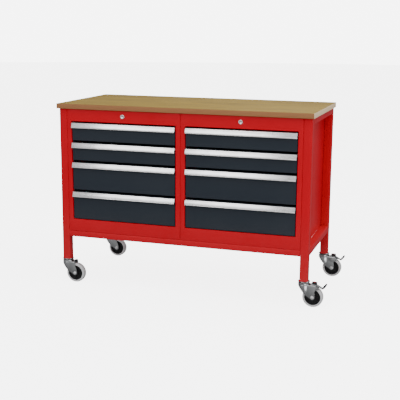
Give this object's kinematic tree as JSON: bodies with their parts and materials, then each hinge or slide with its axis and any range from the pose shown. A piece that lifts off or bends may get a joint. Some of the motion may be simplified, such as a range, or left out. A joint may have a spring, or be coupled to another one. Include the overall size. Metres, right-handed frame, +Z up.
{
  "type": "workbench with drawers",
  "caption": "Mobile workbench: wooden worktop on a steel frame with swivel castors, and cabinets of sliding drawers side by side below it.",
  "frame": {"origin": "on the floor, at the middle of the bounding box of the whole bench with its brake pedals", "axes": "+X to the right of a person who faces the drawers, +Y from the drawers to the back, +Z up; the drawers open along -Y"},
  "size_m": [1.381, 0.604, 0.925],
  "materials": {
    "worktop_wood": "oiled beech multiplex with plies showing at the edges",
    "red_paint": "semi-gloss powder coat",
    "grey_paint": "fine-textured powder coat, anthracite grey",
    "handle_aluminium": "satin anodised profile",
    "lock_chrome": "polished",
    "zinc_plate": "bright zinc-plated pressed steel",
    "tyre_grey": "non-marking light grey rubber",
    "wheel_plastic": "black polyamide",
    "pedal_steel": "bright zinc-plated lever with a black foot plate and cap"
  },
  "bodies": {
    "frame": {"worktop": "worktop_wood", "leg_front_left": "red_paint", "leg_rear_left": "red_paint", "side_rail_lower_left": "red_paint", "side_rail_upper_left": "red_paint", "leg_front_right": "red_paint", "leg_rear_right": "red_paint", "side_rail_lower_right": "red_paint", "side_rail_upper_right": "red_paint", "lower_rail_front": "red_paint", "lower_rail_rear": "red_paint", "cabinet_left": "red_paint", "runner_rack_left_left": "zinc_plate", "runner_rack_left_right": "zinc_plate", "lock_bezel_left": "lock_chrome", "cabinet_right": "red_paint", "runner_rack_right_left": "zinc_plate", "runner_rack_right_right": "zinc_plate", "lock_bezel_right": "lock_chrome", "castor_mount_front_left": "zinc_plate", "castor_mount_rear_left": "zinc_plate", "castor_mount_front_right": "zinc_plate", "castor_mount_rear_right": "zinc_plate"},
    "lock_left": {"lock_plug_left": "lock_chrome"},
    "drawer_left_1": {"drawer_left_1_tray": "grey_paint", "drawer_left_1_handle": "handle_aluminium"},
    "drawer_left_2": {"drawer_left_2_tray": "grey_paint", "drawer_left_2_handle": "handle_aluminium"},
    "drawer_left_3": {"drawer_left_3_tray": "grey_paint", "drawer_left_3_handle": "handle_aluminium"},
    "drawer_left_4": {"drawer_left_4_tray": "grey_paint", "drawer_left_4_handle": "handle_aluminium"},
    "lock_right": {"lock_plug_right": "lock_chrome"},
    "drawer_right_1": {"drawer_right_1_tray": "grey_paint", "drawer_right_1_handle": "handle_aluminium"},
    "drawer_right_2": {"drawer_right_2_tray": "grey_paint", "drawer_right_2_handle": "handle_aluminium"},
    "drawer_right_3": {"drawer_right_3_tray": "grey_paint", "drawer_right_3_handle": "handle_aluminium"},
    "drawer_right_4": {"drawer_right_4_tray": "grey_paint", "drawer_right_4_handle": "handle_aluminium"},
    "castor_front_left": {"castor_fork_front_left": "zinc_plate", "castor_axle_front_left": "zinc_plate"},
    "wheel_front_left": {"wheel_centre_front_left": "wheel_plastic", "tyre_front_left": "tyre_grey"},
    "castor_rear_left": {"castor_fork_rear_left": "zinc_plate", "castor_axle_rear_left": "zinc_plate"},
    "wheel_rear_left": {"wheel_centre_rear_left": "wheel_plastic", "tyre_rear_left": "tyre_grey"},
    "castor_front_right": {"castor_fork_front_right": "zinc_plate", "castor_axle_front_right": "zinc_plate"},
    "wheel_front_right": {"wheel_centre_front_right": "wheel_plastic", "tyre_front_right": "tyre_grey"},
    "brake_front_right": {"brake_pedal_front_right": "pedal_steel"},
    "castor_rear_right": {"castor_fork_rear_right": "zinc_plate", "castor_axle_rear_right": "zinc_plate"},
    "wheel_rear_right": {"wheel_centre_rear_right": "wheel_plastic", "tyre_rear_right": "tyre_grey"},
    "brake_rear_right": {"brake_pedal_rear_right": "pedal_steel"}
  },
  "joints": [
    {"name": "lock_left_turn", "type": "hinge", "parent": "frame", "child": "lock_left", "pos_m": [-0.3405, -0.287, 0.87], "axis": [0, 1, 0], "range_deg": [0, 90]},
    {"name": "drawer_left_1_slide", "type": "slide", "parent": "frame", "child": "drawer_left_1", "axis": [0, -1, 0], "range_m": [0, 0.4]},
    {"name": "drawer_left_2_slide", "type": "slide", "parent": "frame", "child": "drawer_left_2", "axis": [0, -1, 0], "range_m": [0, 0.4]},
    {"name": "drawer_left_3_slide", "type": "slide", "parent": "frame", "child": "drawer_left_3", "axis": [0, -1, 0], "range_m": [0, 0.4]},
    {"name": "drawer_left_4_slide", "type": "slide", "parent": "frame", "child": "drawer_left_4", "axis": [0, -1, 0], "range_m": [0, 0.4]},
    {"name": "lock_right_turn", "type": "hinge", "parent": "frame", "child": "lock_right", "pos_m": [0.2595, -0.287, 0.87], "axis": [0, 1, 0], "range_deg": [0, 90]},
    {"name": "drawer_right_1_slide", "type": "slide", "parent": "frame", "child": "drawer_right_1", "axis": [0, -1, 0], "range_m": [0, 0.4]},
    {"name": "drawer_right_2_slide", "type": "slide", "parent": "frame", "child": "drawer_right_2", "axis": [0, -1, 0], "range_m": [0, 0.4]},
    {"name": "drawer_right_3_slide", "type": "slide", "parent": "frame", "child": "drawer_right_3", "axis": [0, -1, 0], "range_m": [0, 0.4]},
    {"name": "drawer_right_4_slide", "type": "slide", "parent": "frame", "child": "drawer_right_4", "axis": [0, -1, 0], "range_m": [0, 0.4]},
    {"name": "castor_front_left_swivel", "type": "hinge", "parent": "frame", "child": "castor_front_left", "pos_m": [-0.6605, -0.267, 0.11], "axis": [0, 0, 1], "continuous": true},
    {"name": "wheel_front_left_spin", "type": "hinge", "parent": "castor_front_left", "child": "wheel_front_left", "pos_m": [-0.6155, -0.267, 0.05], "axis": [0, 1, 0], "continuous": true},
    {"name": "castor_rear_left_swivel", "type": "hinge", "parent": "frame", "child": "castor_rear_left", "pos_m": [-0.6605, 0.273, 0.11], "axis": [0, 0, 1], "continuous": true},
    {"name": "wheel_rear_left_spin", "type": "hinge", "parent": "castor_rear_left", "child": "wheel_rear_left", "pos_m": [-0.6155, 0.273, 0.05], "axis": [0, 1, 0], "continuous": true},
    {"name": "castor_front_right_swivel", "type": "hinge", "parent": "frame", "child": "castor_front_right", "pos_m": [0.5795, -0.267, 0.11], "axis": [0, 0, 1], "continuous": true},
    {"name": "wheel_front_right_spin", "type": "hinge", "parent": "castor_front_right", "child": "wheel_front_right", "pos_m": [0.6245, -0.267, 0.05], "axis": [0, 1, 0], "continuous": true},
    {"name": "brake_front_right_press", "type": "hinge", "parent": "castor_front_right", "child": "brake_front_right", "pos_m": [0.6195, -0.267, 0.114], "axis": [0, 1, 0], "range_deg": [0, 8]},
    {"name": "castor_rear_right_swivel", "type": "hinge", "parent": "frame", "child": "castor_rear_right", "pos_m": [0.5795, 0.273, 0.11], "axis": [0, 0, 1], "continuous": true},
    {"name": "wheel_rear_right_spin", "type": "hinge", "parent": "castor_rear_right", "child": "wheel_rear_right", "pos_m": [0.6245, 0.273, 0.05], "axis": [0, 1, 0], "continuous": true},
    {"name": "brake_rear_right_press", "type": "hinge", "parent": "castor_rear_right", "child": "brake_rear_right", "pos_m": [0.6195, 0.273, 0.114], "axis": [0, 1, 0], "range_deg": [0, 8]}
  ]
}
